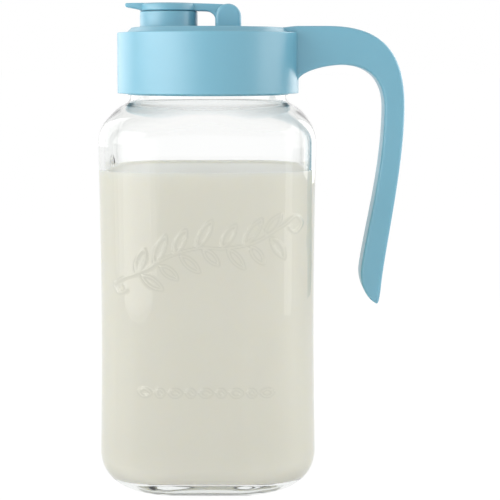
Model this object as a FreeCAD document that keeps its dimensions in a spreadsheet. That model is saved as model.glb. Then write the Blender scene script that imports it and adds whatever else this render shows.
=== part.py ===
import FreeCAD, Part
import os

import Sketcher

# A two-quart square glass jar with a screwed pour lid: the lid carries the handle,
# the spout and a flip cap that turns on two stub pins between a pair of lugs.
# The origin is the middle of the jar's foot. +Z is up, +X points to the handle,
# -X to the pouring side, and -Y is the front.

SIZES = [
    # glass jar
    ("body_width", 110.0, "jar across its flats"),
    ("corner_radius", 34.0, "upright corners of the jar"),
    ("heel_radius", 20.0, "rounding from the wall to the foot"),
    ("shoulder_radius", 21.5, "rounding from the wall to the shoulder"),
    ("shoulder_height", 199.0, "top of the shoulder above the foot"),
    ("neck_height", 32.5, "rim above the shoulder"),
    ("wall", 3.2, "glass of the walls and the shoulder"),
    ("foot_thick", 6.0, "glass under the milk"),
    ("inner_heel", 15.0, "rounding inside, from the wall to the floor"),
    ("neck_radius", 40.3, "outside of the neck"),
    ("neck_wall", 2.9, "glass of the neck"),
    ("punt_radius", 26.0, "shallow hollow under the foot, across its rim"),
    ("punt_depth", 1.6, "how far that hollow rises"),
    ("jar_thread_height", 3.0, "height of the raised thread ring"),
    ("jar_thread_proud", 2.3, "how far the thread ring stands off the neck"),
    ("jar_thread_drop", 9.0, "thread ring below the rim"),
    ("mark_width", 14.0, "raised measuring bar, along the wall"),
    ("mark_height", 1.5, "raised measuring bar, up the wall"),
    ("mark_proud", 0.7, "how far the bars stand off the wall"),
    ("mark_lift", 1.8, "rise of every bar for the room the rounded heel takes"),
    ("mark_drop", 40.0, "topmost bar, the full measure, below the shoulder"),
    # milk
    ("milk_drop", 36.0, "surface of the milk below the shoulder"),
    ("milk_fit", 0.1, "milk clear of the glass at its sides"),
    # lid
    ("skirt_gap", 1.8, "skirt clear of the jar's thread ring"),
    ("roof_thick", 4.35, "roof of the lid over the rim"),
    ("skirt_lift", 3.3, "lower edge of the lid above the shoulder"),
    ("skirt_wall", 2.3, "skirt of the lid"),
    ("ledge_width", 4.8, "flat ledge between the skirt and the raised middle of the lid"),
    ("bevel_width", 2.6, "slope round the raised middle, inwards"),
    ("bevel_height", 2.6, "slope round the raised middle, downwards"),
    ("lid_thread_gap", 1.0, "thread ring of the lid clear of the neck"),
    ("lid_thread_height", 3.0, "height of the lid's thread ring"),
    ("thread_space", 6.2, "lid's thread ring below the jar's"),
    # spout
    ("spout_margin", 4.3, "spout inside the edge of the raised middle"),
    ("spout_radius", 14.8, "outside of the spout"),
    ("spout_wall", 2.6, "wall of the spout"),
    ("spout_rise", 8.2, "spout above the lid"),
    # hinge
    ("lug_space", 9.3, "lugs clear of the spout"),
    ("lug_radius", 6.6, "rounded top of a lug"),
    ("lug_thick", 3.6, "plate of a lug"),
    ("knuckle_radius", 4.7, "rounded end of the cap's arm"),
    ("knuckle_gap", 0.65, "that end clear of the lid"),
    ("side_gap", 0.4, "arm clear of each lug"),
    ("pin_radius", 2.2, "stub pins of the cap"),
    ("pin_fit", 0.05, "running fit of a pin in its lug"),
    ("pin_bite", 2.2, "depth of the blind hole in a lug"),
    ("pin_end_gap", 0.3, "pin clear of the bottom of its hole"),
    # flip cap
    ("cap_overhang", 0.3, "round part past the spout's outside"),
    ("cap_thick", 4.0, "round part and arm"),
    ("cap_gap", 0.3, "cap above the spout's rim"),
    ("plug_depth", 2.5, "ring that reaches down into the spout"),
    ("plug_wall", 1.8, "wall of that ring"),
    ("plug_fit", 0.6, "ring clear of the spout's bore"),
    ("arm_width", 14.0, "arm from the round part to the hinge"),
    ("arm_back", 1.0, "arm carried past the hinge pin"),
    ("tab_reach", 6.8, "thumb tab past the round part"),
    ("tab_tip", 2.3, "thickness of the thumb tab at its tip"),
    ("tab_root", 3.3, "thickness of the thumb tab at the round part"),
    # handle
    ("handle_width", 20.0, "handle from front to back"),
    ("handle_span", 54.1, "skirt to the outermost point of the grip"),
    ("handle_crown", 0.75, "handle above the lid"),
    ("handle_drop", 142.2, "lid's top to the tip of the handle"),
    ("arm_depth", 19.8, "thickness of the arm above the arch"),
    ("arch_offset", 22.3, "top of the arch from the skirt"),
    ("grip_thick", 10.4, "grip seen from the front"),
    ("grip_lean", 11.5, "how far the foot of the grip leans back to the jar"),
    ("grip_drop", 41.0, "lid's top to the outermost point of the grip"),
    ("foot_swell", 1.1, "grip thicker by this much at its foot"),
    ("handle_root", 9.5, "handle's hold on the roof, inwards from the skirt"),
    ("handle_round", 1.2, "rounded long edges of the handle"),
]

MARK_SIXTHS = (1, 2, 4, 6)

doc = FreeCAD.newDocument("jar_pitcher")
sheet = doc.addObject("Spreadsheet::Sheet", "Sizes")
for row, (alias, number, meaning) in enumerate(SIZES, start=1):
    sheet.set(f"A{row}", meaning)
    sheet.set(f"B{row}", str(number))
    sheet.setAlias(f"B{row}", alias)
doc.recompute()


def value(expression):
    """The number that an expression in the sheet's sizes stands for."""
    result = sheet.evalExpression(expression)
    return float(getattr(result, "Value", result))


def bind(thing, **expressions):
    """Ties properties of a feature to the sheet."""
    for prop, expression in expressions.items():
        thing.setExpression(prop, expression)
    return thing


def place(thing, across="0", deep="0", up="0"):
    """Puts a primitive at a point given by three expressions."""
    thing.setExpression("Placement.Base.x", across)
    thing.setExpression("Placement.Base.y", deep)
    thing.setExpression("Placement.Base.z", up)
    return thing


# ---------------------------------------------------------------- features

def new_body(name):
    return doc.addObject("PartDesign::Body", name)


def outline(body, name, plane, corners):
    """A closed outline of straight sides on one of the body's origin planes.

    Each corner is a pair of expressions. A corner at "0" lies on that axis."""
    sketch = body.newObject("Sketcher::SketchObject", name)
    plane_object = next(f for f in body.Origin.OriginFeatures if f.Role == plane)
    sketch.AttachmentSupport = [(plane_object, "")]
    sketch.MapMode = "FlatFace"
    points = [FreeCAD.Vector(value(across), value(up), 0) for across, up in corners]
    count = len(points)
    for i, point in enumerate(points):
        sketch.addGeometry(Part.LineSegment(point, points[(i + 1) % count]), False)
    for i in range(count):
        sketch.addConstraint(Sketcher.Constraint("Coincident", i, 2, (i + 1) % count, 1))
    for i, (across, up) in enumerate(corners):
        for kind, axis, expression, length in (
            ("DistanceX", -2, across, points[i].x),
            ("DistanceY", -1, up, points[i].y),
        ):
            if expression == "0":
                sketch.addConstraint(Sketcher.Constraint("PointOnObject", i, 1, axis))
                continue
            number = sketch.addConstraint(Sketcher.Constraint(kind, -1, 1, i, 1, length))
            sketch.setExpression(f"Constraints[{number}]", expression)
    return sketch


def pad(body, sketch, length, midplane=False):
    feature = body.newObject("PartDesign::Pad", sketch.Name + "_pad")
    feature.Profile = sketch
    feature.SideType = "Symmetric" if midplane else "One side"
    bind(feature, Length=length)
    body.Tip = feature
    doc.recompute()
    return feature


def revolve(body, sketch):
    feature = body.newObject("PartDesign::Revolution", sketch.Name + "_turned")
    feature.Profile = sketch
    feature.ReferenceAxis = (sketch, ["V_Axis"])
    feature.Angle = 360
    body.Tip = feature
    doc.recompute()
    return feature


def fillet(body, base, name, radius, chosen):
    """Rounds the edges of the base feature that the given test picks."""
    edges = [f"Edge{i}" for i, e in enumerate(base.Shape.Edges, start=1) if chosen(e)]
    feature = body.newObject("PartDesign::Fillet", name)
    feature.Base = (base, edges)
    bind(feature, Radius=radius)
    body.Tip = feature
    doc.recompute()
    return feature


def upright(edge):
    return edge.BoundBox.ZLength > 1 and edge.BoundBox.DiagonalLength - edge.BoundBox.ZLength < 1e-6


def level_at(height):
    """A test for edges that lie flat at one height."""
    def test(edge):
        box = edge.BoundBox
        return box.ZLength < 1e-6 and abs(box.ZMin - height) < 1e-3
    return test


def soft_square(name, side, corner, bottom, top, heel, shoulder=None):
    """A square block with round upright corners, a round heel and perhaps a round shoulder."""
    body = new_body(name)
    half = f"({side})/2"
    sketch = outline(body, name + "_plan", "XY_Plane", [
        (f"-{half}", f"-{half}"), (half, f"-{half}"), (half, half), (f"-{half}", half),
    ])
    sketch.setExpression("AttachmentOffset.Base.z", bottom)
    block = pad(body, sketch, f"({top}) - ({bottom})")
    block = fillet(body, block, name + "_corners", corner, upright)
    block = fillet(body, block, name + "_heel", heel, level_at(value(bottom)))
    if shoulder:
        fillet(body, block, name + "_shoulder", shoulder, level_at(value(top)))
    return body


def cylinder(name, radius, height, bottom, across="0"):
    thing = doc.addObject("Part::Cylinder", name)
    bind(thing, Radius=radius, Height=height)
    return place(thing, across, "0", bottom)


def cross_cylinder(name, radius, length, across, up):
    """A cylinder along Y, centred on the plane y = 0."""
    thing = doc.addObject("Part::Cylinder", name)
    bind(thing, Radius=radius, Height=length)
    thing.Placement.Rotation = FreeCAD.Rotation(FreeCAD.Vector(1, 0, 0), -90)
    return place(thing, across, f"-({length})/2", up)


def box(name, length, width, height, across, deep, up):
    thing = doc.addObject("Part::Box", name)
    bind(thing, Length=length, Width=width, Height=height)
    return place(thing, across, deep, up)


def fuse(name, *parts):
    thing = doc.addObject("Part::MultiFuse", name)
    thing.Shapes = list(parts)
    thing.Refine = True
    return thing


def cut(name, base, tool):
    thing = doc.addObject("Part::Cut", name)
    thing.Base = base
    thing.Tool = tool
    thing.Refine = True
    return thing


# ---------------------------------------------------------------- glass jar

ROOM_SIDE = "(Sizes.body_width - 2*Sizes.wall)"
ROOM_CORNER = "(Sizes.corner_radius - Sizes.wall)"
ROOM_TOP = "(Sizes.shoulder_height - Sizes.wall)"
RIM = "(Sizes.shoulder_height + Sizes.neck_height)"
MOUTH = "(Sizes.neck_radius - Sizes.neck_wall)"
THREAD_RADIUS = "(Sizes.neck_radius + Sizes.jar_thread_proud)"
THREAD_FOOT = f"({RIM} - Sizes.jar_thread_drop - Sizes.jar_thread_height)"
NECK_START = "(Sizes.shoulder_height - Sizes.shoulder_radius/2)"


def measuring_bar(sixths):
    """A raised bar on the pouring side, at the height of so many sixths of the full measure."""
    sunk = "Sizes.wall/2"
    empty = "(Sizes.foot_thick + Sizes.mark_lift)"
    height = f"{empty} + {sixths}/6*(Sizes.shoulder_height - Sizes.mark_drop - {empty})"
    return box(
        f"bar_{sixths}_sixths", f"Sizes.mark_proud + {sunk}", "Sizes.mark_width", "Sizes.mark_height",
        "-Sizes.body_width/2 - Sizes.mark_proud", "-Sizes.mark_width/2", height)


def make_jar():
    blank = soft_square(
        "jar_blank", "Sizes.body_width", "Sizes.corner_radius", "0", "Sizes.shoulder_height",
        "Sizes.heel_radius", "Sizes.shoulder_radius")
    neck = cylinder("neck", "Sizes.neck_radius", f"{RIM} - {NECK_START}", NECK_START)
    thread = cylinder("jar_thread", THREAD_RADIUS, "Sizes.jar_thread_height", THREAD_FOOT)
    outside = fuse("jar_outside", blank, neck, thread, *[measuring_bar(n) for n in MARK_SIXTHS])
    room = soft_square(
        "jar_room", ROOM_SIDE, ROOM_CORNER, "Sizes.foot_thick", ROOM_TOP,
        "Sizes.inner_heel", "Sizes.shoulder_radius - Sizes.wall")
    bore = cylinder("mouth", MOUTH, f"{RIM} - {NECK_START} + 1", NECK_START)
    punt = doc.addObject("Part::Cone", "punt")
    bind(punt, Radius1="Sizes.punt_radius", Radius2="Sizes.punt_radius - 3*Sizes.punt_depth",
         Height="Sizes.punt_depth")
    inside = fuse("jar_inside", room, bore)
    return cut("jar", cut("jar_open", outside, inside), punt)


# ---------------------------------------------------------------- milk

def make_milk():
    return soft_square(
        "milk", f"{ROOM_SIDE} - 2*Sizes.milk_fit", f"{ROOM_CORNER} - Sizes.milk_fit", "Sizes.foot_thick",
        "Sizes.shoulder_height - Sizes.milk_drop", "Sizes.inner_heel - Sizes.milk_fit")


# ---------------------------------------------------------------- handle

LID_TOP = f"({RIM} + Sizes.roof_thick)"
LID_RADIUS = f"({THREAD_RADIUS} + Sizes.skirt_gap + Sizes.skirt_wall)"
CROWN = f"({LID_TOP} + Sizes.handle_crown)"
HANDLE_SEAT = f"({LID_RADIUS} - 0.8*Sizes.skirt_wall)"
HANDLE_END = f"({LID_RADIUS} - Sizes.handle_root)"


def bezier(*poles):
    curve = Part.BezierCurve()
    curve.setPoles([FreeCAD.Vector(x, 0, z) for x, z in poles])
    return curve.toShape()


def handle_outline():
    """The handle from the front: an arm off the skirt, an arch, and a grip that leans back
    to the jar and ends in a slanting tip. Every point hangs on the skirt and the lid's top."""
    skirt = value(LID_RADIUS)
    top = value(LID_TOP)
    crown = value(CROWN)
    reach = skirt + value("Sizes.handle_span")
    bulge_z = top - value("Sizes.grip_drop")
    inner = reach - value("Sizes.grip_thick")
    arch = (skirt + value("Sizes.arch_offset"), crown - value("Sizes.arm_depth"))
    seat = value(HANDLE_SEAT)
    under_arm = (seat, arch[1] - 9)
    over_arm = (arch[0] - 8, crown)
    foot_out = (reach - value("Sizes.grip_lean"), top - value("Sizes.handle_drop") + 7)
    tip = (foot_out[0] - 2.4, foot_out[1] - 7)
    foot_in = (foot_out[0] + 1 - value("Sizes.grip_thick") - value("Sizes.foot_swell"), foot_out[1] + 9)
    fullness = 0.7
    leg_out = bulge_z - foot_out[1]
    leg_in = bulge_z - foot_in[1]
    rise = arch[1] - bulge_z
    return [
        bezier((seat, crown), over_arm),
        bezier(over_arm, (over_arm[0] + fullness * (reach - over_arm[0]), crown),
               (reach, bulge_z + fullness * (crown - bulge_z)), (reach, bulge_z)),
        bezier((reach, bulge_z), (reach, bulge_z - 0.33 * leg_out),
               (foot_out[0] + 1.5, foot_out[1] + 0.21 * leg_out), foot_out),
        bezier(foot_out, (foot_out[0] - 0.6, foot_out[1] - 4), (tip[0] + 1.5, tip[1] - 0.8), tip),
        bezier(tip, (tip[0] - 4.5, tip[1] + 2.4), (foot_in[0], foot_in[1] - 7.5), foot_in),
        bezier(foot_in, (foot_in[0] + 1.4, foot_in[1] + 0.2 * leg_in),
               (inner, bulge_z - 0.4 * leg_in), (inner, bulge_z)),
        bezier((inner, bulge_z), (inner, bulge_z + 0.6 * rise), (arch[0] + 14.5, arch[1]), arch),
        bezier(arch, (arch[0] - 8, arch[1]), (seat + 5.5, arch[1] - 2), under_arm),
        bezier(under_arm, (seat, crown)),
    ]


def make_handle():
    """The outline given its width, with its long edges rounded. The end in the skirt stays square."""
    width = value("Sizes.handle_width")
    seat = value(HANDLE_SEAT)
    face = Part.Face(Part.Wire(handle_outline()))
    solid = face.extrude(FreeCAD.Vector(0, width, 0))
    solid.translate(FreeCAD.Vector(0, -width / 2, 0))
    long_edges = [
        edge for edge in solid.Edges
        if edge.BoundBox.YLength < 1e-6 and edge.BoundBox.XMax > seat + 1e-3
    ]
    thing = doc.addObject("Part::Feature", "handle")
    thing.Shape = solid.makeFillet(value("Sizes.handle_round"), long_edges)
    thing.Placement = FreeCAD.Placement()
    return thing


def handle_saddle():
    """A low ramp that carries the flat top of the arm over the slope onto the roof."""
    low = f"{LID_TOP} - 0.6*Sizes.roof_thick"
    far = f"{HANDLE_SEAT} + Sizes.handle_root"
    body = new_body("handle_saddle")
    sketch = outline(body, "saddle_side", "XZ_Plane", [
        (HANDLE_END, low),
        (far, low),
        (far, CROWN),
        (HANDLE_SEAT, CROWN),
        (HANDLE_END, LID_TOP),
    ])
    pad(body, sketch, "Sizes.handle_width - 2*Sizes.handle_round", midplane=True)
    return body


# ---------------------------------------------------------------- lid

LID_FOOT = "(Sizes.shoulder_height + Sizes.skirt_lift)"
LEDGE_INSIDE = f"({LID_RADIUS} - Sizes.ledge_width)"
RAISED_RADIUS = f"({LEDGE_INSIDE} - Sizes.bevel_width)"
SKIRT_INSIDE = f"({LID_RADIUS} - Sizes.skirt_wall)"
SPOUT_ACROSS = f"(Sizes.spout_radius + Sizes.spout_margin - {RAISED_RADIUS})"
SPOUT_TOP = f"({LID_TOP} + Sizes.spout_rise)"
SPOUT_BORE = "(Sizes.spout_radius - Sizes.spout_wall)"
HINGE_RISE = "(Sizes.knuckle_radius + Sizes.knuckle_gap)"
HINGE_ACROSS = f"({SPOUT_ACROSS} + Sizes.spout_radius + Sizes.lug_space + Sizes.lug_radius)"
HINGE_UP = f"({LID_TOP} + {HINGE_RISE})"
LUG_INSIDE = "(Sizes.arm_width/2 + Sizes.side_gap)"


def lid_shell():
    """Skirt, thread ring, ledge and raised middle, turned in one."""
    ring = "(Sizes.neck_radius + Sizes.lid_thread_gap)"
    ring_top = f"({THREAD_FOOT} - Sizes.thread_space)"
    ring_foot = f"({ring_top} - Sizes.lid_thread_height)"
    body = new_body("lid_shell")
    sketch = outline(body, "lid_section", "XZ_Plane", [
        ("0", LID_TOP),
        (RAISED_RADIUS, LID_TOP),
        (LEDGE_INSIDE, f"{LID_TOP} - Sizes.bevel_height"),
        (LID_RADIUS, f"{LID_TOP} - Sizes.bevel_height"),
        (LID_RADIUS, LID_FOOT),
        (SKIRT_INSIDE, LID_FOOT),
        (SKIRT_INSIDE, ring_foot),
        (ring, ring_foot),
        (ring, ring_top),
        (SKIRT_INSIDE, ring_top),
        (SKIRT_INSIDE, RIM),
        ("0", RIM),
    ])
    revolve(body, sketch)
    return body


def lug(name, side):
    """An upright plate with a round top beside the arm, on the front or the back side."""
    thick = "Sizes.lug_thick"
    near = LUG_INSIDE if side > 0 else f"-{LUG_INSIDE} - {thick}"
    sunk = "Sizes.roof_thick/2"
    plate = box(
        name + "_plate", "2*Sizes.lug_radius", thick, f"{HINGE_RISE} + {sunk}",
        f"{HINGE_ACROSS} - Sizes.lug_radius", near, f"{LID_TOP} - {sunk}")
    crown = doc.addObject("Part::Cylinder", name + "_crown")
    bind(crown, Radius="Sizes.lug_radius", Height=thick)
    crown.Placement.Rotation = FreeCAD.Rotation(FreeCAD.Vector(1, 0, 0), -90)
    place(crown, HINGE_ACROSS, near, HINGE_UP)
    return fuse(name, plate, crown)


def make_lid():
    sunk = "Sizes.roof_thick/2"
    spout = cylinder(
        "spout", "Sizes.spout_radius", f"Sizes.spout_rise + {sunk}", f"{LID_TOP} - {sunk}",
        SPOUT_ACROSS)
    bore = cylinder(
        "spout_bore", SPOUT_BORE, "Sizes.spout_rise + Sizes.roof_thick + 2", f"{RIM} - 1",
        SPOUT_ACROSS)
    pin_holes = cross_cylinder(
        "pin_holes", "Sizes.pin_radius + Sizes.pin_fit", f"2*({LUG_INSIDE} + Sizes.pin_bite)",
        HINGE_ACROSS, HINGE_UP)
    solid = fuse(
        "lid_solid", lid_shell(), make_handle(), handle_saddle(), spout,
        lug("front_lug", -1), lug("back_lug", 1))
    return cut("lid", solid, fuse("lid_holes", bore, pin_holes))


# ---------------------------------------------------------------- flip cap

CAP_RADIUS = "(Sizes.spout_radius + Sizes.cap_overhang)"


def cap_tongue():
    """Thumb tab and arm in one strip, with the part that comes down to the hinge."""
    under = f"({SPOUT_TOP} + Sizes.cap_gap)"
    over = f"({under} + Sizes.cap_thick)"
    disc_edge = f"{SPOUT_ACROSS} - {CAP_RADIUS}"
    tip = f"{disc_edge} - Sizes.tab_reach"
    inside_disc = f"{disc_edge} + Sizes.tab_reach"
    knuckle_front = f"{HINGE_ACROSS} - Sizes.knuckle_radius"
    arm_end = f"{HINGE_ACROSS} + Sizes.arm_back"
    body = new_body("cap_tongue")
    sketch = outline(body, "tongue_side", "XZ_Plane", [
        (tip, f"{over} - Sizes.tab_tip"),
        (disc_edge, f"{over} - Sizes.tab_root"),
        (inside_disc, under),
        (f"{knuckle_front} - Sizes.knuckle_radius", under),
        (knuckle_front, HINGE_UP),
        (arm_end, HINGE_UP),
        (arm_end, over),
        (tip, over),
    ])
    strip = pad(body, sketch, "Sizes.arm_width", midplane=True)
    back = value(arm_end)
    top = value(over)

    def back_edge(edge):
        spot = edge.CenterOfMass
        return abs(spot.x - back) < 1e-3 and abs(spot.z - top) < 1e-3

    def tab_corner(edge):
        return upright(edge) and edge.CenterOfMass.x < value(disc_edge) - 1

    strip = fillet(body, strip, "tongue_back", "3*Sizes.arm_back", back_edge)
    fillet(body, strip, "tab_corners", "Sizes.arm_width/3", tab_corner)
    return body


def make_flip_cap():
    under = f"({SPOUT_TOP} + Sizes.cap_gap)"
    sunk = "Sizes.cap_thick/2"
    plug_radius = f"({SPOUT_BORE} - Sizes.plug_fit)"
    disc = cylinder("cap_disc", CAP_RADIUS, "Sizes.cap_thick", under, SPOUT_ACROSS)
    plug = cylinder(
        "cap_plug", plug_radius, f"Sizes.plug_depth + {sunk}", f"{under} - Sizes.plug_depth",
        SPOUT_ACROSS)
    hollow = cylinder(
        "plug_hollow", f"{plug_radius} - Sizes.plug_wall", "Sizes.plug_depth + 1",
        f"{under} - Sizes.plug_depth - 1", SPOUT_ACROSS)
    knuckle = cross_cylinder(
        "knuckle", "Sizes.knuckle_radius", "Sizes.arm_width", HINGE_ACROSS, HINGE_UP)
    pins = cross_cylinder(
        "pins", "Sizes.pin_radius", f"2*({LUG_INSIDE} + Sizes.pin_bite - Sizes.pin_end_gap)",
        HINGE_ACROSS, HINGE_UP)
    solid = fuse("cap_solid", disc, plug, cap_tongue(), knuckle, pins)
    return cut("flip_cap", solid, hollow)


# ---------------------------------------------------------------- build, check and write

pieces = [make_jar(), make_milk(), make_lid(), make_flip_cap()]
for piece in pieces:
    piece.Label = piece.Name
doc.recompute()

for thing in doc.Objects:
    if "Invalid" in thing.State or "Error" in thing.State:
        raise RuntimeError(f"{thing.Name} did not build: {thing.State}")
for piece in pieces:
    if piece.Shape.isNull() or not piece.Shape.isValid():
        raise RuntimeError(f"{piece.Name} has no valid shape")
    if len(piece.Shape.Solids) != 1:
        raise RuntimeError(f"{piece.Name} is {len(piece.Shape.Solids)} solids, not one")

os.makedirs("parts", exist_ok=True)
for piece in pieces:
    piece.Shape.exportStep(os.path.join("parts", piece.Label + ".step"))
    size = piece.Shape.BoundBox
    print(f"{piece.Label}: {piece.Shape.Volume / 1000:.1f} cm3, "
          f"{size.XLength:.1f} x {size.YLength:.1f} x {size.ZLength:.1f} mm")
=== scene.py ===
from math import cos, pi, radians, sin, tan

import bmesh
import bpy
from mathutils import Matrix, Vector


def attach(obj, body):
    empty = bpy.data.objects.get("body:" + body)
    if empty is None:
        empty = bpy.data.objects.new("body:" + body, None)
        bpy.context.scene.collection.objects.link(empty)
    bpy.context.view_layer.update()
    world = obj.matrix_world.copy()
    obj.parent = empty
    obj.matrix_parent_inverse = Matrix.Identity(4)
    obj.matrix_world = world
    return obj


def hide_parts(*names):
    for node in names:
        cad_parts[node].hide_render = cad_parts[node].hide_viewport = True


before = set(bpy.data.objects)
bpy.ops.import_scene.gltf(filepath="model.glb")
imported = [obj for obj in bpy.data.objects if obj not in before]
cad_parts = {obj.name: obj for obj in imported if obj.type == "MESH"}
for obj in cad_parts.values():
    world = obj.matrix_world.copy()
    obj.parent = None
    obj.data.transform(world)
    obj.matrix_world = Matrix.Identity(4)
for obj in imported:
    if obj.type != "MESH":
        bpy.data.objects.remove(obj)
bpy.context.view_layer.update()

# A square glass jar of milk with a blue pour lid. Lengths in the tables are in millimetres.
# +Z is up, +X points to the handle, -X to the spout, and -Y is the front.
MM = 0.001


# ---------------------------------------------------------------- working by hand

def only(piece):
    """Leaves this piece alone selected and active."""
    bpy.ops.object.select_all(action="DESELECT")
    piece.select_set(True)
    bpy.context.view_layer.objects.active = piece


def start(kind, name, **settings):
    """Adds a primitive at its size and place."""
    bpy.ops.object.select_all(action="DESELECT")
    getattr(bpy.ops.mesh, f"primitive_{kind}_add")(**settings)
    piece = bpy.context.object
    piece.name = piece.data.name = name
    bpy.ops.object.transform_apply(location=True, rotation=True, scale=True)
    return piece


def edit(piece, kind):
    """Opens a piece for editing by vertex, edge or face, with nothing selected."""
    only(piece)
    bpy.ops.object.mode_set(mode="EDIT")
    bpy.ops.mesh.select_mode(type=kind)
    bpy.ops.mesh.select_all(action="DESELECT")


def done():
    """Back from editing to the whole piece."""
    bpy.ops.object.mode_set(mode="OBJECT")


def pick(piece, kind, test):
    """Selects the vertices, edges or faces that a test finds by their place."""
    mesh = bmesh.from_edit_mesh(piece.data)
    for item in {"VERT": mesh.verts, "EDGE": mesh.edges, "FACE": mesh.faces}[kind]:
        item.select_set(bool(test(item)))
    mesh.select_flush_mode()
    bmesh.update_edit_mesh(piece.data)


def picked(piece):
    """The vertices that are selected."""
    return [v for v in bmesh.from_edit_mesh(piece.data).verts if v.select]


def fit_ring(piece, half, height, middle_x=0.0):
    """Brings the selected ring to a half width and a height."""
    now = picked(piece)[0].co.z
    bpy.ops.transform.translate(value=(0, 0, height * MM - now))
    wide = max(v.co.x for v in picked(piece)) - middle_x * MM
    share = half * MM / wide
    bpy.ops.transform.resize(value=(share, share, 1), center_override=(middle_x * MM, 0, height * MM))


def carry(piece, rings, middle_x=0.0):
    """Carries the selected face or open edge on from ring to ring.

    A ring is a half width, a height and, where it is given, how round it is made.
    """
    faces_are_picked = bpy.context.tool_settings.mesh_select_mode[2]
    extrude = bpy.ops.mesh.extrude_region_move if faces_are_picked else bpy.ops.mesh.extrude_edges_move
    for half, height, *roundness in rings:
        extrude()
        if roundness:
            bpy.ops.transform.tosphere(value=roundness[0])
        fit_ring(piece, half, height, middle_x)


def open_edges(piece):
    """Selects every edge that has a face on one side only."""
    pick(piece, "EDGE", lambda edge: edge.is_boundary)


def modifier(piece, name, kind, **settings):
    """Gives a piece a modifier and applies it."""
    only(piece)
    made = piece.modifiers.new(name, kind)
    for key, setting in settings.items():
        setattr(made, key, setting)
    bpy.ops.object.modifier_apply(modifier=made.name)


def tidy_mesh(piece, angle=32):
    """Closes doubles, points every face outwards and shades the soft edges smooth."""
    edit(piece, "VERT")
    bpy.ops.mesh.select_all(action="SELECT")
    bpy.ops.mesh.remove_doubles(threshold=0.000004)
    bpy.ops.mesh.normals_make_consistent(inside=False)
    done()
    bpy.ops.object.shade_smooth_by_angle(angle=radians(angle))


def soften(piece, width, segments=3, angle=35):
    """Rounds the edges that are sharper than the angle."""
    modifier(piece, "rounding", "BEVEL", width=width * MM, segments=segments, limit_method="ANGLE",
             angle_limit=radians(angle), use_clamp_overlap=True)


def join(first, *others):
    """Makes one piece of several."""
    only(first)
    for other in others:
        other.select_set(True)
    bpy.ops.object.join()
    return first


def cut_out(piece, tool):
    """Takes the tool's shape out of a piece."""
    modifier(piece, "cut", "BOOLEAN", operation="DIFFERENCE", solver="EXACT", object=tool)
    bpy.data.objects.remove(tool)


# ---------------------------------------------------------------- glass jar

# The outside is the CAD jar's. Inside, the floor is thicker and the shoulder is thinner than there.
FLAT = 110.0
CORNER = 34.0
HEEL = 20.0
WALL = 3.2
THIN = 2.2
FLOOR = 9.4
INNER_HEEL = 9.0
SHOULDER = 21.5
SHOULDER_TOP = 199.0
SHOULDER_START = SHOULDER_TOP - SHOULDER
NECK = 40.3
MOUTH = 37.4
NECK_TURN = 4.0
NECK_START = 200.6
NECK_STRAIGHT = 208.0
MOUTH_STRAIGHT = 214.0
SHOULDER_ROUNDNESS = 0.75
RIM = 231.5
PUNT = 26.0
PUNT_DEPTH = 1.6
WAIST = 0.9
THREAD_MIDDLE = 221.0
OUTER_RINGS = 74
INNER_RINGS = 24
CORNER_SEGMENTS = 20
SIDE_CUTS = 17
# How far the glass stands back from the lip's edge, at a depth under the rim.
LIP = ((0.0, 1.4), (0.4, 0.4), (1.2, 0.0))
# How far the thread ring stands out, at a distance above or under its middle.
THREAD = ((0.0, 2.6), (1.5, 1.6), (2.2, 0.7))


def waist_at(height, low):
    """How far the walls are drawn in between the heel and the shoulder."""
    share = min(max((height - low) / (SHOULDER_START - low), 0), 1)
    return WAIST * sin(pi * share)


def heel_rings(half, radius, bottom, steps=9):
    """Round the heel, from the floor up to the wall."""
    turns = [pi / 2 * i / steps for i in range(1, steps + 1)]
    return [(half - radius + radius * sin(turn), bottom + radius * (1 - cos(turn))) for turn in turns]


def wall_rings(half, low, high, count):
    """Up the wall, which is drawn in a little at its middle."""
    heights = [low + (high - low) * i / count for i in range(1, count + 1)]
    return [(half - waist_at(height, low), height) for height in heights]


def shoulder_rings(half, radius, last, steps=11):
    """Round the shoulder, from the square of the wall towards the circle of the neck."""
    rings = []
    for i in range(1, steps + 1):
        turn = radians(last) * i / steps
        roundness = SHOULDER_ROUNDNESS * (i / steps) ** 3
        rings.append((half - radius + radius * cos(turn), SHOULDER_START + radius * sin(turn), roundness))
    return rings


def neck_rings(radius, first, steps=6):
    """Out of the shoulder and up into the neck, round a centre that lies outside the glass."""
    centre = NECK + NECK_TURN
    turns = [radians(first) * (1 - i / steps) for i in range(steps + 1)]
    return [(centre - radius * cos(turn), NECK_START - radius * sin(turn), 1.0) for turn in turns]


def square_ring(name, half, height):
    """A flat square face with round corners, its edge divided finely enough for the walls."""
    piece = start("plane", name, size=FLAT * MM)
    edit(piece, "VERT")
    bpy.ops.mesh.select_all(action="SELECT")
    bpy.ops.mesh.bevel(offset=CORNER * MM, segments=CORNER_SEGMENTS, affect="VERTICES", clamp_overlap=False)
    bpy.ops.mesh.select_mode(type="EDGE")
    pick(piece, "EDGE", lambda edge: edge.calc_length() > 0.5 * (FLAT - 2 * CORNER) * MM)
    bpy.ops.mesh.subdivide(number_cuts=SIDE_CUTS)
    bpy.ops.mesh.select_all(action="SELECT")
    fit_ring(piece, half, height)
    return piece


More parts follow.
